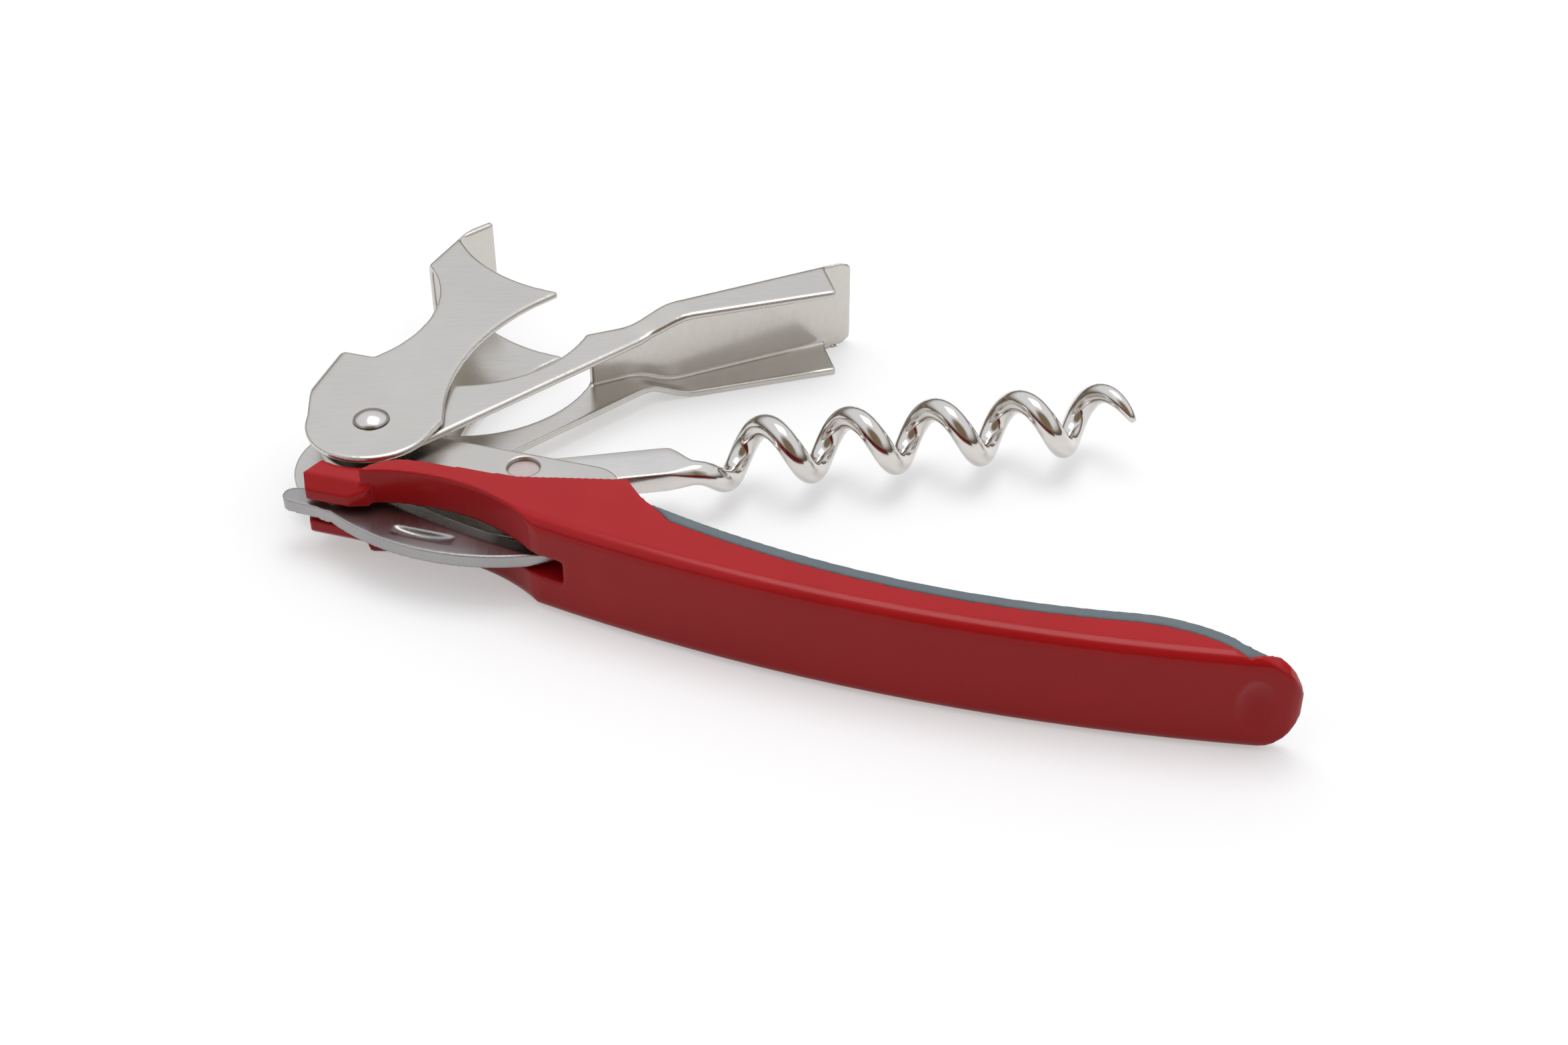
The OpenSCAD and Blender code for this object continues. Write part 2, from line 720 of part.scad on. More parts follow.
// The front tip is blunted across the line that halves it
blunt_angle = 27;
blunt = tip_front + polar(front_tip_loss, blunt_angle + 90);
blunt_end = polar(front_tip_width / 2, blunt_angle);

// Where the short lever's two cheeks are joined: along its tab and along its rim lip
module short_webs() {
    translate([tab_from - cut, tab_back - sheet_t]) square([tab_to - tab_from + 2 * cut, far]);
    lip_web();
}

module lip_web() {
    out = -5 * lip_in[0];
    end = lip_tip + polar(cut, lip_angle);
    polygon([lip_start - lip_in[0], lip_start + lip_in[0], lip_bend, end + lip_in[1], end + out,
             tip_back + out]);
}

module short_outline() {
    difference() {
        union() {
            circle(short_round);
            polygon([[0, -short_round], blunt - blunt_end, blunt + blunt_end,
                     lip_tip + lip_in[1], lip_tip, tip_back, lip_start,
                     [tab_to, tab_back], tab_tip, polar(run_in * short_round, tab_tangent)]);
        }
        intersection() {
            at(cap_centre) circle(cap_radius, $fn = long_arc);
            translate([tab_to, 0]) square(far);
        }
        difference() {
            at(crescent_centre) circle(crescent_radius, $fn = long_arc);
            lip_web();
        }
        at(front_centre) circle(front_radius, $fn = long_arc);
    }
}

module short_lever() {
    color("lightgray")
        at(lever_pivot)
            rotate(short_angle)
                difference() {
                    slab(short_out) short_outline();
                    slab(short_in)
                        difference() {
                            square(2 * far, center = true);
                            short_webs();
                        }
                    cylinder(d = rivet_d + 2 * bore_play, h = 3 * far, center = true);
                }
}

// Long lever, with u along its straight part and v to its back
foot_end = [long_bend, -long_round] + polar(long_foot, -long_bend_angle);
web_end = foot_end + polar(long_depth, 90 - long_bend_angle);
web_start = [web_from, -web_drop];
lip_end = toward(web_start, web_end, norm(web_end - web_start) + long_lip);
recess_centre = [recess_reach, recess_radius - recess_depth];

web_angle = bearing(web_start, web_end);
web_in = polar(sheet_t, web_angle - 90);

module long_outline() {
    difference() {
        union() {
            circle(long_round);
            polygon([[0, -long_round], [long_bend, -long_round], foot_end, web_end + web_in,
                     lip_end + web_in, lip_end, web_start, [0, long_round]]);
        }
        at(recess_centre) circle(recess_radius, $fn = long_arc);
    }
}

// The hollow between the long lever's cheeks, bounded by the web along its back
module long_hollow() {
    polygon([[-far, -far], [far, -far], lip_end + web_in + polar(far, web_angle), web_start + web_in,
             web_start - web_in, [-far, far]]);
}

// Edge of the long lever's side profile, which widens along a soft double bend behind the bend of the lever
function flare_edge(narrow, wide) =
    [for (i = [0 : 6])
        [long_bend + (i / 6 - 1 / 4) * long_flare, narrow + (wide - narrow) * (1 - cos(30 * i)) / 2]];
function backwards(list) = [for (i = [len(list) - 1 : -1 : 0]) list[i]];

// Side profile of the long lever as a solid across its width; the rim lip's corners are cut back
module long_profile(narrow, wide) {
    tip = lip_end[0];
    corner = long_lip_corner;
    edge = concat([[-far, narrow]], flare_edge(narrow, wide),
                  [[tip - corner, wide], [tip - corner / 3, wide - corner / 3],
                   [tip + corner / 6, wide - corner], [tip + far, wide - 3 * corner]]);
    translate([0, far / 2, mid])
        rotate([90, 0, 0])
            linear_extrude(far)
                polygon(concat(edge, backwards([for (p = edge) [p[0], -p[1]]])));
}

module long_lever() {
    color("lightgray")
        at(lever_pivot)
            rotate(long_angle)
                difference() {
                    intersection() {
                        linear_extrude(handle_thickness) long_outline();
                        long_profile(long_out, mid);
                    }
                    intersection() {
                        linear_extrude(handle_thickness) long_hollow();
                        long_profile(long_in, mid - sheet_t);
                    }
                    cylinder(d = rivet_d + 2 * bore_play, h = 3 * far, center = true);
                }
}

// Worm: u along the helix axis, v across it, z up
helix_r = (worm_d - wire_d) / 2;
ring_step = 20;
ring_sides = 10;
last_angle = 360 * worm_turns;
tip_angle = 150;
tip_share = 0.12;
lead_in = wire_d / 28;
ease_angle = 180 * ease / worm_pitch;

// Distance along the axis at a given turn of the wire, easing out of the straight neck
function helix_u(angle) =
    angle < ease_angle ? worm_neck + sqrt(angle * 2 * ease * worm_pitch / 360)
                       : worm_neck + ease / 2 + angle * worm_pitch / 360;
function helix_point(angle) =
    [helix_u(max(angle, 0)) + min(angle, 0) * lead_in,
     worm_offset - helix_r * cos(max(angle, 0)), -helix_r * sin(max(angle, 0))];
function helix_wire(angle) =
    wire_d / 2 * min(1, tip_share + (1 - tip_share) * sqrt(max(0, (last_angle - angle) / tip_angle)));
function helix_ring(angle) =
    let (p = helix_point(angle), ahead = helix_point(angle + 1) - helix_point(angle - 1),
         t = ahead / norm(ahead), out = [0, -cos(max(angle, 0)), -sin(max(angle, 0))],
         side = cross(t, out) / norm(cross(t, out)), up = cross(side, t))
    [for (i = [0 : ring_sides - 1])
        p + helix_wire(angle) * (cos(360 * i / ring_sides) * up + sin(360 * i / ring_sides) * side)];

module helix() {
    angles = concat([-30, -2], [for (a = [6 : ring_step : last_angle]) a], [last_angle]);
    rings = len(angles);
    points = [for (a = angles) each helix_ring(a)];
    skin = [for (r = [0 : rings - 2], i = [0 : ring_sides - 1])
            let (a = r * ring_sides + i, b = r * ring_sides + (i + 1) % ring_sides)
            each [[a, b + ring_sides, b], [a, a + ring_sides, b + ring_sides]]];
    caps = [[for (i = [0 : ring_sides - 1]) i],
            [for (i = [ring_sides - 1 : -1 : 0]) (rings - 1) * ring_sides + i]];
    polyhedron(points, concat(skin, caps), convexity = 10);
}

module worm() {
    wire_v = worm_offset - helix_r;
    shoulder = worm_neck - flat_shoulder;
    color("silver")
        at(worm_pivot, mid)
            rotate(worm_angle)
                difference() {
                    union() {
                        translate([0, 0, -flat_t / 2])
                            linear_extrude(flat_t) {
                                circle(d = flat_eye);
                                polygon([[0, -flat_width / 2], [worm_neck, wire_v - 0.46 * wire_d],
                                         [worm_neck + wire_d / 3, wire_v], [worm_neck, wire_v + wire_d / 2],
                                         [shoulder, flat_width / 2], [0, flat_width / 2]]);
                            }
                        helix();
                    }
                    cylinder(d = worm_pin_d + 2 * bore_play, h = far, center = true);
                }
}

// Knife: u along the blade, v towards the worm
spine_centre = [spine_reach, spine_radius - spine_drop];
edge_centre = [knife_length + blade_overrun, blade_radius - blade_drop];
// Slope of the bevel, which leaves a quarter of the thickness at the edge
bevel_rise = 3 / 8 * knife_t / bevel_width;

module knife_outline() {
    circle(knife_eye);
    difference() {
        intersection() {
            at(spine_centre) circle(spine_radius, $fn = long_arc);
            translate([0, -far]) square([knife_length, 2 * far]);
        }
        at(edge_centre) circle(blade_radius, $fn = long_arc);
        translate([0, knife_eye - tab_drop]) square(far);
    }
    polygon([[0, -knife_eye + tab_drop / 4], [0, knife_eye - tab_drop],
             [-tab_reach, tab_round - tab_drop], [-tab_reach, -tab_round - tab_drop]]);
    translate([-tab_reach, -tab_drop]) circle(tab_round);
}

// Ground bevel along the cutting edge, on both faces
module knife_bevel() {
    near = blade_radius - cut;
    beyond = blade_radius + 2 * bevel_width;
    at(edge_centre)
        rotate_extrude($fn = long_arc)
            for (face = [0, 1])
                mirror([0, face])
                    polygon([[near, knife_t / 8 - cut * bevel_rise],
                             [beyond, knife_t / 8 + 2 * bevel_width * bevel_rise],
                             [beyond, 2 * knife_t], [near, 2 * knife_t]]);
}

module knife() {
    nick_radius = (nick_length * nick_length / 4 + nick_depth * nick_depth) / (2 * nick_depth);
    nick_centre = [spine_reach - nick_width, nick_margin - spine_drop];
    color("lightsteelblue")
        at(knife_pivot, mid)
            difference() {
                translate([0, 0, -knife_t / 2]) linear_extrude(knife_t) knife_outline();
                intersection() {
                    knife_bevel();
                    translate([knife_eye + bevel_start, -far / 2, -far / 2]) cube(far);
                }
                at(nick_centre, knife_t / 2 - nick_depth + nick_radius)
                    rotate([90, 0, 0])
                        cylinder(r = nick_radius, h = nick_width, center = true);
                cylinder(d = knife_pin_d + 2 * bore_play, h = far, center = true);
            }
}

handle_body();
soft_grip();
upper_liner();
lower_liner();
lever_rivet();
rivet_spacer();
short_lever();
long_lever();
worm();
worm_pin();
knife();
knife_pin();
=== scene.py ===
import math
import bpy
import bmesh
from mathutils import Matrix, Vector


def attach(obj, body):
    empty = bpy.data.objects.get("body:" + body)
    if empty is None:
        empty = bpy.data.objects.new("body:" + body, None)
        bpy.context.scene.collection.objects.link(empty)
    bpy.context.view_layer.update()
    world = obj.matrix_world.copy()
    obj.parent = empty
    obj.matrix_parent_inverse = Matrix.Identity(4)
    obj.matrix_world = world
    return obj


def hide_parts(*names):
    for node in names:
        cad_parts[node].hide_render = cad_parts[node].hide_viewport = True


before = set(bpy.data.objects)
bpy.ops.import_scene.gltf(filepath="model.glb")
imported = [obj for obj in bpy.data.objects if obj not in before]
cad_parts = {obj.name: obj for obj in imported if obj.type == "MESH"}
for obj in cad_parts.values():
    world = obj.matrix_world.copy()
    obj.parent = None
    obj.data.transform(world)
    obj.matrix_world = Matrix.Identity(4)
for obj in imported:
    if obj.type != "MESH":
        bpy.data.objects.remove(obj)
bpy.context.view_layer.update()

mm = 0.001  # shapes below are in millimetres, the scene is in metres
print("frame loaded:", len(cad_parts), "nodes")


# ways of building nodes

floatSocket, vectorSocket = "NodeSocketFloat", "NodeSocketVector"
mixFactor, mixFirst, mixSecond, mixResult = 0, 6, 7, 2  # sockets of a colour mix


def addNode(tree, kind, x, y, **settings):
    node = tree.nodes.new(kind)
    node.location = (x, y)
    for key, value in settings.items():
        setattr(node, key, value)
    return node


def setInputs(node, **values):
    for key, value in values.items():
        node.inputs[key].default_value = value
    return node


# links a socket or sets a plain value
def feed(tree, value, socket):
    if isinstance(value, bpy.types.NodeSocket):
        tree.links.new(value, socket)
    else:
        socket.default_value = value


def opaque(color):
    return (*color, 1.0)


def newGroup(name, inputs, outputs):
    tree = bpy.data.node_groups.new(name, "ShaderNodeTree")
    for way, sockets in (("INPUT", inputs), ("OUTPUT", outputs)):
        for label, kind in sockets.items():
            tree.interface.new_socket(label, in_out=way, socket_type=kind)
    start = addNode(tree, "NodeGroupInput", -900, 0)
    end = addNode(tree, "NodeGroupOutput", 700, 0)
    return tree, start, end


def mathNode(tree, operation, x, y, first, second, clamp=False):
    node = addNode(tree, "ShaderNodeMath", x, y, operation=operation, use_clamp=clamp)
    feed(tree, first, node.inputs[0])
    feed(tree, second, node.inputs[1])
    return node.outputs[0]


def blendColors(tree, x, y, factor, first, second):
    node = addNode(tree, "ShaderNodeMix", x, y, data_type="RGBA")
    tree.links.new(factor, node.inputs[mixFactor])
    feed(tree, first, node.inputs[mixFirst])
    feed(tree, second, node.inputs[mixSecond])
    return node.outputs[mixResult]


def mapValue(tree, x, y, source, low, high):
    node = setInputs(addNode(tree, "ShaderNodeMapRange", x, y), **{"To Min": low, "To Max": high})
    tree.links.new(source, node.inputs["Value"])
    return node.outputs["Result"]


def addBump(tree, x, y, height, distance, strength, normal):
    node = setInputs(addNode(tree, "ShaderNodeBump", x, y), Strength=strength, Distance=distance)
    tree.links.new(height, node.inputs["Height"])
    tree.links.new(normal, node.inputs["Normal"])
    return node.outputs["Normal"]


# noise between low and high, spread from the floor up to 1
def spreadNoise(tree, x, y, place, scale, recipe):
    noise = addNode(tree, "ShaderNodeTexNoise", x, y)
    setInputs(noise, Detail=recipe["detail"], Roughness=recipe["roughness"])
    tree.links.new(place, noise.inputs["Vector"])
    feed(tree, scale, noise.inputs["Scale"])
    spread = addNode(tree, "ShaderNodeMapRange", x + 220, y)
    setInputs(spread, **{"From Min": recipe["low"], "From Max": recipe["high"], "To Min": recipe["floor"]})
    tree.links.new(noise.outputs["Fac"], spread.inputs["Value"])
    return spread.outputs["Result"]


# edges: a mask along the rims of a piece and a normal that is softened there; the mask lightens the rims,
# part rubbed wear and part painted highlight
edgeSamples = 6
edgeNoise = dict(detail=3.0, roughness=0.6, low=0.3, high=0.7, floor=0.45)


def makeEdgeGroup():
    tree, start, end = newGroup(
        "edgeRubAndHighlight",
        {"Radius": floatSocket, "Breakup": floatSocket, "Gain": floatSocket},
        {"Mask": floatSocket, "Normal": vectorSocket})
    link = tree.links.new
    bevel = addNode(tree, "ShaderNodeBevel", -650, 100, samples=edgeSamples)
    link(start.outputs["Radius"], bevel.inputs["Radius"])
    plain = addNode(tree, "ShaderNodeNewGeometry", -650, -80)
    dot = addNode(tree, "ShaderNodeVectorMath", -440, 60, operation="DOT_PRODUCT")
    link(bevel.outputs["Normal"], dot.inputs[0])
    link(plain.outputs["True Normal"], dot.inputs[1])
    turn = mathNode(tree, "SUBTRACT", -260, 60, 1.0, dot.outputs["Value"])
    gain = mathNode(tree, "MULTIPLY", -90, 60, turn, start.outputs["Gain"])
    place = addNode(tree, "ShaderNodeTexCoord", -650, -320)
    rough = spreadNoise(tree, -440, -320, place.outputs["Object"], start.outputs["Breakup"], edgeNoise)
    mask = mathNode(tree, "MULTIPLY", 120, 0, gain, rough, clamp=True)
    link(mask, end.inputs["Mask"])
    link(bevel.outputs["Normal"], end.inputs["Normal"])
    return tree


# grain: cloudy variation and a fine surface height, both between 0 and 1
cloudNoise = dict(detail=4.0, roughness=0.55, low=0.28, high=0.72, floor=0.0)
grainNoise = dict(detail=2.0, roughness=0.5, low=0.28, high=0.72, floor=0.0)


def makeGrainGroup():
    tree, start, end = newGroup(
        "surfaceGrain",
        {"Cloud Scale": floatSocket, "Grain Scale": floatSocket},
        {"Cloud": floatSocket, "Grain": floatSocket})
    place = addNode(tree, "ShaderNodeTexCoord", -700, 0)
    for label, recipe, y in (("Cloud", cloudNoise, 150), ("Grain", grainNoise, -150)):
        scale = start.outputs[label + " Scale"]
        noise = spreadNoise(tree, -450, y, place.outputs["Object"], scale, recipe)
        tree.links.new(noise, end.inputs[label])
    return tree


# brushing: fine lines along one direction, drawn by stretching noise
lineNoise = dict(detail=3.0, roughness=0.6, low=0.25, high=0.75, floor=0.0)
lineScale = 1.0  # the stretch alone sets the size of the lines


def makeBrushGroup():
    tree, start, end = newGroup(
        "brushedLines",
        {"Turn": vectorSocket, "Stretch": vectorSocket},
        {"Lines": floatSocket})
    link = tree.links.new
    place = addNode(tree, "ShaderNodeTexCoord", -900, 200)
    turn = addNode(tree, "ShaderNodeVectorRotate", -650, 0, rotation_type="EULER_XYZ")
    link(place.outputs["Object"], turn.inputs["Vector"])
    link(start.outputs["Turn"], turn.inputs["Rotation"])
    stretch = addNode(tree, "ShaderNodeVectorMath", -450, 0, operation="MULTIPLY")
    link(turn.outputs["Vector"], stretch.inputs[0])
    link(start.outputs["Stretch"], stretch.inputs[1])
    lines = spreadNoise(tree, -250, 0, stretch.outputs["Vector"], lineScale, lineNoise)
    link(lines, end.inputs["Lines"])
    return tree


edgeGroup, grainGroup, brushGroup = makeEdgeGroup(), makeGrainGroup(), makeBrushGroup()


# ways of building materials

def newMaterial(name):
    mat = bpy.data.materials.new(name)
    mat.use_nodes = True
    tree = mat.node_tree
    shader = tree.nodes["Principled BSDF"]
    shader.location = (500, 0)
    tree.nodes["Material Output"].location = (850, 0)
    return mat, tree, shader


def useGroup(tree, group, x, y, **values):
    return setInputs(addNode(tree, "ShaderNodeGroup", x, y, node_tree=group), **values)


def useGrain(tree, x, y, look):
    scales = {"Cloud Scale": look["cloudScale"], "Grain Scale": look["grainScale"]}
    return useGroup(tree, grainGroup, x, y, **scales)


def useLines(tree, x, y, look):
    turn = (0.0, 0.0, math.radians(look["lineTurn"]))
    return useGroup(tree, brushGroup, x, y, Turn=turn, Stretch=look["lineStretch"])


def useEdge(tree, x, y, look):
    return useGroup(tree, edgeGroup, x, y, Radius=look["edgeRadius"], Breakup=look["edgeBreakup"],
                    Gain=look["edgeGain"])


def bodyColor(tree, x, y, grain, look):
    return blendColors(tree, x, y, grain.outputs["Cloud"], opaque(look["colorDeep"]), opaque(look["color"]))


# one recipe for moulded parts, one for metal parts
def mouldedMaterial(name, look):
    mat, tree, shader = newMaterial(name)
    link = tree.links.new
    grain = useGrain(tree, -700, 200, look)
    edge = useEdge(tree, -700, -200, look)
    body = bodyColor(tree, -350, 250, grain, look)
    # the rims are lightened: rubbed wear with a painted highlight
    wornAndHighlit = blendColors(tree, -100, 200, edge.outputs["Mask"], body, opaque(look["colorEdgeWearAndHighlight"]))
    link(wornAndHighlit, shader.inputs["Base Color"])
    satin = mapValue(tree, -100, 0, grain.outputs["Grain"], *look["roughness"])
    link(satin, shader.inputs["Roughness"])
    bumped = addBump(tree, 150, -250, grain.outputs["Grain"], look["grainHeight"], look["grainStrength"],
                     edge.outputs["Normal"])
    link(bumped, shader.inputs["Normal"])
    setInputs(shader, **{"Specular IOR Level": look["specular"]})
    return mat


def metalMaterial(name, look):
    mat, tree, shader = newMaterial(name)
    link = tree.links.new
    grain = useGrain(tree, -900, 250, look)
    lines = useLines(tree, -900, 0, look)
    edge = useEdge(tree, -900, -250, look)
    body = bodyColor(tree, -500, 300, grain, look)
    tint = mapValue(tree, -500, 100, lines.outputs["Lines"], 0.0, look["lineTint"])
    drawn = blendColors(tree, -300, 300, tint, body, opaque(look["colorLine"]))
    # the rims are lightened: rubbed wear with a painted highlight
    wornAndHighlit = blendColors(tree, -100, 250, edge.outputs["Mask"], drawn, opaque(look["colorEdgeWearAndHighlight"]))
    link(wornAndHighlit, shader.inputs["Base Color"])
    both = mathNode(tree, "ADD", -300, 0, grain.outputs["Cloud"], lines.outputs["Lines"])
    mean = mathNode(tree, "MULTIPLY", -130, 0, both, 0.5)
    satin = mapValue(tree, 40, 0, mean, *look["roughness"])
    rubbed = mathNode(tree, "MULTIPLY", 40, -150, edge.outputs["Mask"], -look["edgePolish"])
    link(mathNode(tree, "ADD", 220, -50, satin, rubbed, clamp=True), shader.inputs["Roughness"])
    height = mathNode(tree, "ADD", -130, -350, lines.outputs["Lines"], grain.outputs["Grain"])
    bumped = addBump(tree, 220, -350, height, look["lineHeight"], look["lineStrength"],
                     edge.outputs["Normal"])
    link(bumped, shader.inputs["Normal"])
    setInputs(shader, Metallic=1.0)
    return mat


# each look's lighter rim colour is rubbed wear with a painted highlight
redLook = dict(color=(0.41, 0.0085, 0.011), colorDeep=(0.37, 0.007, 0.009), colorEdgeWearAndHighlight=(0.46, 0.020, 0.022),
               roughness=(0.15, 0.25), specular=0.20, cloudScale=110.0, grainScale=3600.0,
               grainHeight=0.00001, grainStrength=0.10, edgeRadius=0.0003, edgeBreakup=500.0, edgeGain=0.8)
greyLook = dict(color=(0.150, 0.182, 0.196), colorDeep=(0.120, 0.148, 0.160), colorEdgeWearAndHighlight=(0.26, 0.29, 0.30),
                roughness=(0.50, 0.70), specular=0.30, cloudScale=140.0, grainScale=2600.0,
                grainHeight=0.00003, grainStrength=0.5, edgeRadius=0.0003, edgeBreakup=600.0, edgeGain=1.0)
leverLook = dict(color=(0.635, 0.605, 0.560), colorDeep=(0.590, 0.562, 0.520), colorLine=(0.52, 0.495, 0.455),
                 colorEdgeWearAndHighlight=(0.92, 0.90, 0.87), roughness=(0.17, 0.30), edgePolish=0.10, lineTint=0.30,
                 cloudScale=130.0, grainScale=2800.0, lineTurn=-20.0, lineStretch=(260.0, 4200.0, 900.0),
                 lineHeight=0.000004, lineStrength=0.22, edgeRadius=0.0004, edgeBreakup=500.0, edgeGain=1.6)
plateLook = dict(leverLook, color=(0.60, 0.572, 0.532), colorDeep=(0.55, 0.525, 0.488), lineTurn=15.0,
                 roughness=(0.22, 0.36))
pinLook = dict(leverLook, color=(0.70, 0.67, 0.65), colorDeep=(0.62, 0.585, 0.565), cloudScale=420.0,
               lineStretch=(1500.0, 1500.0, 1500.0), roughness=(0.16, 0.28))
# the worm pin's pinkish tint is a painted reflection of the red handle
pinkReflectionLook = dict(pinLook, color=(0.60, 0.50, 0.47), colorDeep=(0.50, 0.405, 0.38), roughness=(0.30, 0.44))
nickelLook = dict(color=(0.70, 0.675, 0.64), colorDeep=(0.65, 0.625, 0.59), colorLine=(0.56, 0.535, 0.50),
                  colorEdgeWearAndHighlight=(0.80, 0.78, 0.75), roughness=(0.07, 0.17), edgePolish=0.04, lineTint=0.25,
                  cloudScale=260.0, grainScale=2400.0, lineTurn=-26.0, lineStretch=(500.0, 2500.0, 2500.0),
                  lineHeight=0.000004, lineStrength=0.10, edgeRadius=0.0002, edgeBreakup=700.0, edgeGain=1.2)
# the blade's dark colour is painted shade from the red wall above it
knifeLook = dict(leverLook, color=(0.40, 0.39, 0.385), colorDeep=(0.33, 0.322, 0.318), lineTurn=70.0,
                 colorLine=(0.28, 0.272, 0.268), colorEdgeWearAndHighlight=(0.84, 0.82, 0.80), lineTint=0.5,
                 lineStretch=(400.0, 5200.0, 5200.0), roughness=(0.24, 0.38), edgeGain=2.2, lineStrength=0.08)

satinRed = mouldedMaterial("satinRed", redLook)
softGrey = mouldedMaterial("softGrey", greyLook)
leverSteel = metalMaterial("leverSteel", leverLook)
plateSteel = metalMaterial("plateSteel", plateLook)
pinSteel = metalMaterial("pinSteel", pinLook)
pinRedReflection = metalMaterial("pinRedReflection", pinkReflectionLook)
wormNickel = metalMaterial("wormNickel", nickelLook)
knifeSteel = metalMaterial("knifeSteel", knifeLook)
print("materials made")


# ways of redrawing a CAD node

weldGap = 0.000002  # metres between vertices that count as one
flatAngle = 0.6  # degrees between triangles that count as one flat
allSmooth = 180  # degrees, so that no edge is marked sharp
roundProfile = 0.5
easeFactor = 0.5
largeFaceWeight = 100
facetRule = dict(cornerAngle=22, bendAngle=11, rounds=4, lean=0.001, leastHeight=0.01)
foldRule = dict(webTilt=0.1, webShare=0.5, cheekTilt=0.8, length=1.0, area=60.0, segments=6)


def finishMesh(name, bm, mat, smoothAngle):
    bmesh.ops.recalc_face_normals(bm, faces=bm.faces)
    for face in bm.faces:
        face.smooth = True
    for edge in bm.edges:
        edge.smooth = len(edge.link_faces) == 2 and edge.calc_face_angle() < math.radians(smoothAngle)
    mesh = bpy.data.meshes.new(name)
    bm.to_mesh(mesh)
    bm.free()
    mesh.materials.append(mat)
    piece = bpy.data.objects.new(name, mesh)
    bpy.context.scene.collection.objects.link(piece)
    return piece


def copyNode(node):
    bm = bmesh.new()
    bm.from_mesh(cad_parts[node].data)
    bmesh.ops.remove_doubles(bm, verts=bm.verts, dist=weldGap)
    return bm


def heightSpan(verts):
    levels = [v.co.z for v in verts]
    return min(levels), max(levels)


def isUpright(edge):
    first, second = edge.verts
    lean = (first.co.to_2d() - second.co.to_2d()).length
    return lean < facetRule["lean"] * mm and len(edge.link_faces) == 2


def faceWidth(face):
    bottom, top = heightSpan(face.verts)
    return face.calc_area() / max(top - bottom, facetRule["leastHeight"] * mm)


# joins the triangles of each flat, then the short facets of curved walls, most of all beside corners
def joinFacets(bm, look):
    bmesh.ops.dissolve_limit(bm, angle_limit=math.radians(flatAngle), verts=bm.verts, edges=bm.edges)
    cornerAngle = math.radians(facetRule["cornerAngle"])
    bendAngle = math.radians(facetRule["bendAngle"])
    corners = [edge.verts[0].co.to_2d() for edge in bm.edges
               if isUpright(edge) and edge.calc_face_angle() > cornerAngle]
    spare = [edge for edge in bm.edges
             if isUpright(edge) and edge.calc_face_angle() < cornerAngle
             and any((edge.verts[0].co.to_2d() - spot).length < look["reach"] * mm for spot in corners)]
    bmesh.ops.dissolve_edges(bm, edges=spare, use_verts=True)
    for turn in range(facetRule["rounds"]):
        spare, used = [], set()
        for edge in bm.edges:
            if not isUpright(edge) or used.intersection(edge.link_faces):
                continue
            if edge.calc_face_angle() > bendAngle:
                continue
            if sum(faceWidth(face) for face in edge.link_faces) < look["facet"] * mm:
                spare.append(edge)
                used.update(edge.link_faces)
        bmesh.ops.dissolve_edges(bm, edges=spare, use_verts=True)


# edges where a flat cheek turns into the tall web between the cheeks, outside or inside the fold
def foldEdges(bm, isOutside):
    low, high = heightSpan(bm.verts)
    middle = sum((v.co for v in bm.verts), Vector()) / len(bm.verts)
    found = []
    for edge in bm.edges:
        if len(edge.link_faces) != 2 or edge.calc_length() < foldRule["length"] * mm:
            continue
        cheek, web = sorted(edge.link_faces, key=lambda face: -abs(face.normal.z))
        bottom, top = heightSpan(web.verts)
        isTall = top - bottom > foldRule["webShare"] * (high - low)
        isWeb = abs(web.normal.z) < foldRule["webTilt"] and web.calc_area() >= foldRule["area"] * mm * mm
        if abs(cheek.normal.z) < foldRule["cheekTilt"] or not isTall or not isWeb:
            continue
        webOut = web.normal.dot(web.calc_center_median() - middle) > 0
        cheekOut = cheek.normal.z * (cheek.calc_center_median().z - (high + low) / 2) > 0
        if edge.is_convex == isOutside and webOut == isOutside and cheekOut == isOutside:
            found.append(edge)
    return found


# rounds the folds, outside first, by a radius that leaves the sheet its thickness
def roundFolds(bm, look):
    count = 0
    for isOutside, radius in ((True, look["fold"]), (False, look["fold"] - look["sheet"])):
        edges = foldEdges(bm, isOutside)
        count += len(edges)
        bmesh.ops.bevel(bm, geom=edges, offset=radius * mm, offset_type="OFFSET", affect="EDGES",
                        segments=foldRule["segments"], profile=roundProfile, clamp_overlap=False)
    return count


# a CAD node copied as a clean mesh with its edges broken by a small bevel
def softenNode(node, name, mat, look):
    bm = copyNode(node)
    joinFacets(bm, look)
    piece = finishMesh(name, bm, mat, look["smoothAngle"])
    bevel = piece.modifiers.new("brokenEdge", "BEVEL")
    bevel.width = look["width"] * mm
    bevel.segments = look["segments"]
    bevel.limit_method = "ANGLE"
    bevel.angle_limit = math.radians(look["bevelAngle"])
    weighted = piece.modifiers.new("faceWeight", "WEIGHTED_NORMAL")
    weighted.keep_sharp = True
    return piece


# a CAD node copied as one even skin, its folds rounded and its edges eased as a press or a mould leaves them
def skinNode(node, name, mat, look):
    bm = copyNode(node)
    if "fold" in look:
        joinFacets(bm, look)
        print(name, "fold edges rounded:", roundFolds(bm, look))
        bmesh.ops.triangulate(bm, faces=bm.faces)
    piece = finishMesh(name, bm, mat, allSmooth)
    skin = piece.modifiers.new("evenSkin", "REMESH")
    skin.mode = "VOXEL"
    skin.voxel_size = look["voxel"] * mm
    skin.use_smooth_shade = True
    ease = piece.modifiers.new("easedEdges", "SMOOTH")
    ease.factor = easeFactor
    ease.iterations = look["passes"]
    thin = piece.modifiers.new("plainFlats", "DECIMATE")
    thin.ratio = look["keep"]
    normals = piece.modifiers.new("flatNormals", "WEIGHTED_NORMAL")
    normals.weight = largeFaceWeight
    return piece


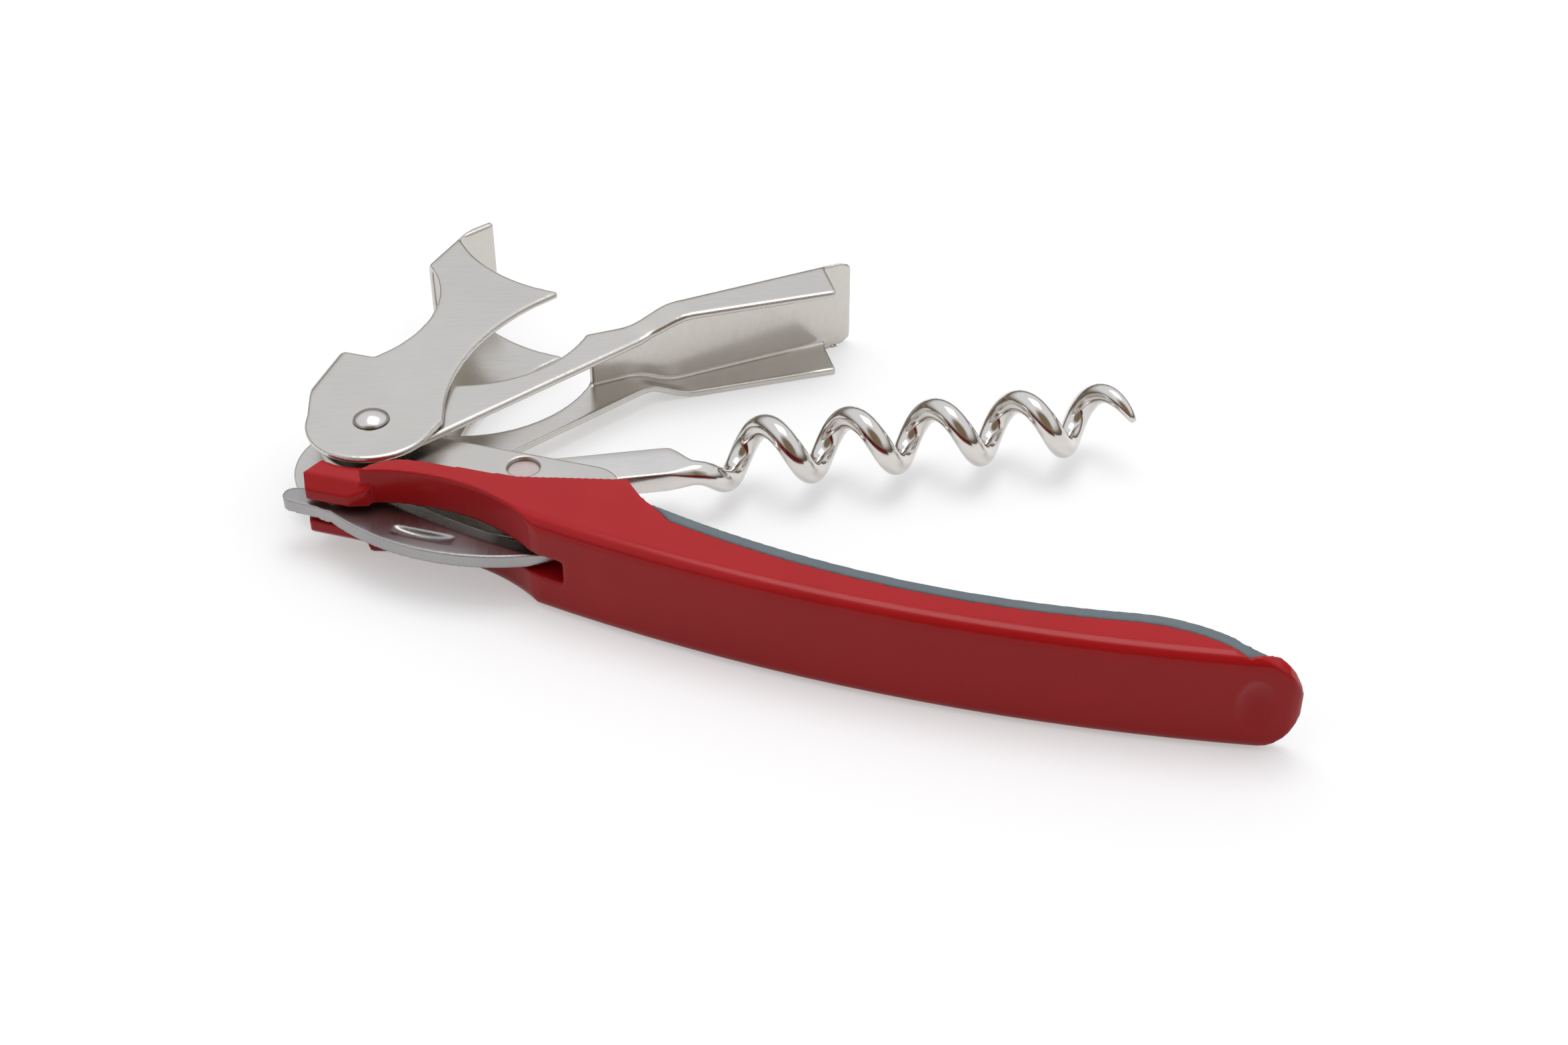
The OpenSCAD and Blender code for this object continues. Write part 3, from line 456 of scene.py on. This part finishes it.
plateEdge = dict(facet=0.5, reach=0.8, width=0.15, segments=2, bevelAngle=35, smoothAngle=35)
stampedEdge = dict(facet=1.0, reach=2.4, fold=1.3, sheet=0.9, voxel=0.17, passes=14, keep=0.22)
groundEdge = dict(voxel=0.12, passes=3, keep=0.25)
mouldedEdge = dict(voxel=0.20, passes=4, keep=0.22)
stripEdge = dict(voxel=0.24, passes=3, keep=0.35)
pieceTable = [
    ("handle_body", "handleShell", "handle", "red_plastic", satinRed, mouldedEdge, skinNode),
    ("soft_grip", "gripStrip", "handle", "grey_rubber", softGrey, stripEdge, skinNode),
    ("upper_liner", "upperPlate", "handle", "plate_steel", plateSteel, plateEdge, softenNode),
    ("lower_liner", "lowerPlate", "handle", "plate_steel", plateSteel, plateEdge, softenNode),
    ("short_lever", "shortLeverStamped", "short_lever", "lever_steel", leverSteel, stampedEdge, skinNode),
    ("long_lever", "longLeverStamped", "long_lever", "lever_steel", leverSteel, stampedEdge, skinNode),
    ("knife", "knifeBlade", "knife", "knife_steel", knifeSteel, groundEdge, skinNode),
]
for node, name, body, slot, mat, look, make in pieceTable:
    piece = make(node, name, mat, look)
    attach(piece, body)
    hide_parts(node)
print("redrawn copies made:", len(pieceTable))

# turned pieces keep their CAD shape and take the pin finish; the worm pin's finish carries a painted
# reflection of the red handle
turnedPieces = dict(lever_rivet=pinSteel, rivet_spacer=pinSteel, worm_pin=pinRedReflection, knife_pin=pinSteel)
for node, mat in turnedPieces.items():
    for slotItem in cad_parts[node].material_slots:
        slotItem.material = mat


# worm: a flat eye piece that runs into round wire, wound to an open helix and ground to a point
worm = dict(pivot=(-38.9, 14.2, 6.2), turn=26.5, boreRadius=1.95, boreSides=48, smoothAngle=50,
            eyeRadius=3.0, flatHalf=2.65, flatNear=-2.625, thickHalf=1.3, cornerRadius=0.32, cornerPoints=6,
            shoulder=18.0, neck=19.7, eyeBlend=3.2, dropLead=1.2, dropLag=0.3, roundLead=2.2, roundLag=0.4,
            eyeFirst=3, eyeStep=8, coarseStep=0.8, coarseCount=20, fineStep=0.18,
            wireRadius=1.4, helixRadius=2.925, offset=1.6, pitch=10.15, ease=4.0,
            firstAngle=2.0, stepAngle=6.0, lastAngle=1782.0, tangentAngle=1, tipAngle=150.0, tipShare=0.12)


def smoothStep(low, high, value):
    t = min(1.0, max(0.0, (value - low) / (high - low)))
    return t * t * (3 - 2 * t)


def roundedSection(halfWidth, halfHeight, radius):
    radius = min(radius, halfWidth, halfHeight)
    count = worm["cornerPoints"]
    points = []
    for corner in range(4):
        cx = (halfWidth - radius) * (1 if corner in (0, 3) else -1)
        cy = (halfHeight - radius) * (1 if corner in (0, 1) else -1)
        for k in range(count):
            angle = math.radians(corner * 90 + 90 * (k + 0.5) / count)
            points.append((cx + radius * math.cos(angle), cy + radius * math.sin(angle)))
    return points


# cross-sections along the flat eye piece, from its round end to the neck
def eyeRings():
    eye, neck, wire, flat = worm["eyeRadius"], worm["neck"], worm["wireRadius"], worm["flatHalf"]
    coarseEnd = worm["coarseStep"] * worm["coarseCount"]
    fineCount = int((neck - coarseEnd) / worm["fineStep"])
    stations = [-eye * math.cos(math.radians(a)) for a in range(worm["eyeFirst"], 90, worm["eyeStep"])]
    stations += [worm["coarseStep"] * k for k in range(worm["coarseCount"])]
    stations += [coarseEnd + worm["fineStep"] * k for k in range(fineCount)]
    rings = []
    for u in stations:
        if u < 0:
            far = math.sqrt(eye * eye - u * u)
            near = -far
        else:
            blend = smoothStep(0, worm["eyeBlend"], u)
            near = -eye + blend * (eye - flat) + (worm["flatNear"] + flat) * u / neck
            drop = smoothStep(worm["shoulder"] - worm["dropLead"], neck + worm["dropLag"], u)
            far = eye + blend * (flat - eye)
            far += drop * (worm["offset"] - worm["helixRadius"] + wire - flat)
        rounding = smoothStep(worm["shoulder"] - worm["roundLead"], neck + worm["roundLag"], u)
        radius = worm["cornerRadius"] + rounding * (wire - worm["cornerRadius"])
        thick = worm["thickHalf"] + rounding * (wire - worm["thickHalf"])
        middle, half = (near + far) / 2, (far - near) / 2
        rings.append([Vector((u, middle + x, y)) for x, y in roundedSection(half, thick, radius)])
    return rings


def helixPoint(a):
    easeAngle = 180 * worm["ease"] / worm["pitch"]
    if a < easeAngle:
        along = worm["neck"] + math.sqrt(a * 2 * worm["ease"] * worm["pitch"] / 360)
    else:
        along = worm["neck"] + worm["ease"] / 2 + a * worm["pitch"] / 360
    turn = math.radians(a)
    aside = worm["offset"] - worm["helixRadius"] * math.cos(turn)
    return Vector((along, aside, -worm["helixRadius"] * math.sin(turn)))


# cross-sections along the wound wire, from the neck to the point
def wireRings():
    rings = []
    a = worm["firstAngle"]
    while a <= worm["lastAngle"]:
        here = helixPoint(a)
        tangent = (helixPoint(a + worm["tangentAngle"]) - helixPoint(a - worm["tangentAngle"])).normalized()
        radial = Vector((0, math.cos(math.radians(a)), math.sin(math.radians(a))))
        radial = (radial - tangent * radial.dot(tangent)).normalized()
        binormal = tangent.cross(radial)
        left = (worm["lastAngle"] - a) / worm["tipAngle"]
        share = worm["tipShare"] + (1 - worm["tipShare"]) * math.sqrt(left)
        wire = worm["wireRadius"] * min(1.0, share)
        rings.append([here + radial * x + binormal * y for x, y in roundedSection(wire, wire, wire)])
        a += worm["stepAngle"]
    return rings


# the swept blank, with the pin's bore cut through its eye
def buildWorm():
    bm = bmesh.new()
    turn = Matrix.Rotation(math.radians(worm["turn"]), 4, "Z")
    shift = Matrix.Translation(Vector(worm["pivot"]))
    place = Matrix.Scale(mm, 4) @ shift @ turn
    rings = [[bm.verts.new(place @ p) for p in ring] for ring in eyeRings() + wireRings()]
    size = len(rings[0])
    for first, second in zip(rings, rings[1:]):
        for k in range(size):
            bm.faces.new((first[k], first[(k + 1) % size], second[(k + 1) % size], second[k]))
    bm.faces.new(rings[0][::-1])
    bm.faces.new(rings[-1])
    blank = finishMesh("wormBlank", bm, wormNickel, worm["smoothAngle"])
    bm = bmesh.new()
    radius = worm["boreRadius"] * mm
    depth = 4 * worm["thickHalf"] * mm  # twice the eye's thickness
    bmesh.ops.create_cone(bm, cap_ends=True, segments=worm["boreSides"], radius1=radius, radius2=radius,
                          depth=depth, matrix=Matrix.Translation(Vector(worm["pivot"]) * mm))
    drill = finishMesh("wormDrill", bm, wormNickel, worm["smoothAngle"])
    bore = blank.modifiers.new("pinBore", "BOOLEAN")
    bore.operation = "DIFFERENCE"
    bore.object = drill
    bm = bmesh.new()
    bm.from_object(blank, bpy.context.evaluated_depsgraph_get())
    bpy.data.objects.remove(drill)
    bpy.data.objects.remove(blank)
    return finishMesh("wormWire", bm, wormNickel, worm["smoothAngle"])


wormPiece = buildWorm()
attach(wormPiece, "worm")
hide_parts("worm")
print("worm wound")


# floor, light and camera, in metres
floorLook = dict(size=6.0, cells=8, color=(0.62, 0.62, 0.62), colorDeep=(0.6076, 0.6076, 0.6076),
                 cloudScale=6.0, grainScale=900.0, roughness=0.9, lift=0.39)


# pale paper that glows a little towards the camera and in reflections
def paperMaterial(name, look):
    mat, tree, shader = newMaterial(name)
    link = tree.links.new
    grain = useGrain(tree, -500, 0, look)
    link(bodyColor(tree, -200, 100, grain, look), shader.inputs["Base Color"])
    setInputs(shader, Roughness=look["roughness"], **{"Specular IOR Level": 0.0})
    path = addNode(tree, "ShaderNodeLightPath", 100, 500)
    seen = mathNode(tree, "MAXIMUM", 300, 500, path.outputs["Is Camera Ray"], path.outputs["Is Glossy Ray"])
    level = mathNode(tree, "MULTIPLY", 450, 500, seen, look["lift"])
    glow = addNode(tree, "ShaderNodeEmission", 600, 300)
    link(level, glow.inputs["Strength"])
    both = addNode(tree, "ShaderNodeAddShader", 750, 100)
    link(shader.outputs[0], both.inputs[0])
    link(glow.outputs[0], both.inputs[1])
    link(both.outputs[0], tree.nodes["Material Output"].inputs["Surface"])
    return mat


def buildFloor():
    bm = bmesh.new()
    cells = floorLook["cells"]
    bmesh.ops.create_grid(bm, x_segments=cells, y_segments=cells, size=floorLook["size"])
    mesh = bpy.data.meshes.new("paleFloor")
    bm.to_mesh(mesh)
    bm.free()
    mesh.materials.append(paperMaterial("palePaper", floorLook))
    floor = bpy.data.objects.new("paleFloor", mesh)
    bpy.context.scene.collection.objects.link(floor)


skyStops = [(0.0, (0.10, 0.075, 0.05)), (0.14, (0.16, 0.13, 0.10)), (0.30, (0.60, 0.59, 0.58)),
            (0.48, (0.915, 0.94, 1.0)), (1.0, (0.95, 0.965, 1.01))]  # heights and colours
# the room's dim side
skyShade = dict(toward=(0.20, -0.80, 0.56), near=0.93, far=0.74, color=(0.24, 0.18, 0.11))


# a room that lights and mirrors in the part, with plain white behind it for the camera
def buildSky():
    world = bpy.data.worlds.new("studioRoom")
    bpy.context.scene.world = world
    world.use_nodes = True
    tree = world.node_tree
    link = tree.links.new
    room = tree.nodes["Background"]
    place = addNode(tree, "ShaderNodeTexCoord", -900, 0)
    split = addNode(tree, "ShaderNodeSeparateXYZ", -700, 0)
    link(place.outputs["Generated"], split.inputs[0])
    ramp = addNode(tree, "ShaderNodeValToRGB", -450, 0)
    stops = ramp.color_ramp.elements
    while len(stops) < len(skyStops):
        stops.new(0.5)
    for stop, (position, color) in zip(stops, skyStops):
        stop.position = position
        stop.color = opaque(color)
    link(split.outputs["Z"], ramp.inputs["Fac"])
    facing = addNode(tree, "ShaderNodeVectorMath", -700, -250, operation="DOT_PRODUCT")
    link(place.outputs["Generated"], facing.inputs[0])
    facing.inputs[1].default_value = skyShade["toward"]
    side = addNode(tree, "ShaderNodeMapRange", -450, -250, interpolation_type="SMOOTHSTEP")
    setInputs(side, **{"From Min": skyShade["near"], "From Max": skyShade["far"]})
    link(facing.outputs["Value"], side.inputs["Value"])
    dim = opaque(skyShade["color"])
    shaded = blendColors(tree, -200, 0, side.outputs["Result"], dim, ramp.outputs["Color"])
    link(shaded, room.inputs["Color"])
    white = setInputs(addNode(tree, "ShaderNodeBackground", -100, -200), Color=(1, 1, 1, 1), Strength=1.0)
    path = addNode(tree, "ShaderNodeLightPath", -300, 300)
    pick = addNode(tree, "ShaderNodeMixShader", 150, 100)
    link(path.outputs["Is Camera Ray"], pick.inputs[0])
    link(room.outputs[0], pick.inputs[1])
    link(white.outputs[0], pick.inputs[2])
    link(pick.outputs[0], tree.nodes["World Output"].inputs["Surface"])


def aimed(direction):
    return Vector(direction).to_track_quat("-Z", "Y").to_euler()


softbox = dict(place=(-0.04, 0.14, 0.60), aim=(-0.01, 0.02, 0.0), size=0.34, watts=1.25)


def buildLight():
    data = bpy.data.lights.new("topSoftbox", "AREA")
    data.shape = "SQUARE"
    data.size = softbox["size"]
    data.energy = softbox["watts"]
    lamp = bpy.data.objects.new("topSoftbox", data)
    lamp.location = softbox["place"]
    lamp.rotation_euler = aimed(Vector(softbox["aim"]) - Vector(softbox["place"]))
    bpy.context.scene.collection.objects.link(lamp)


camera = dict(place=(0.0520306, -0.1815224, 0.1675033), back=(0.230392, -0.753578, 0.615661), lens=53.57,
              sensor=36.0, clipStart=0.005)


def buildCamera():
    data = bpy.data.cameras.new("photoCamera")
    data.lens = camera["lens"]
    data.sensor_width = camera["sensor"]
    data.clip_start = camera["clipStart"]
    data.dof.use_dof = False
    cam = bpy.data.objects.new("photoCamera", data)
    cam.location = camera["place"]
    cam.rotation_euler = aimed(-Vector(camera["back"]))
    bpy.context.scene.collection.objects.link(cam)
    bpy.context.scene.camera = cam


buildFloor()
buildSky()
buildLight()
buildCamera()
bpy.context.scene.view_settings.view_transform = "Standard"
print("stage set")
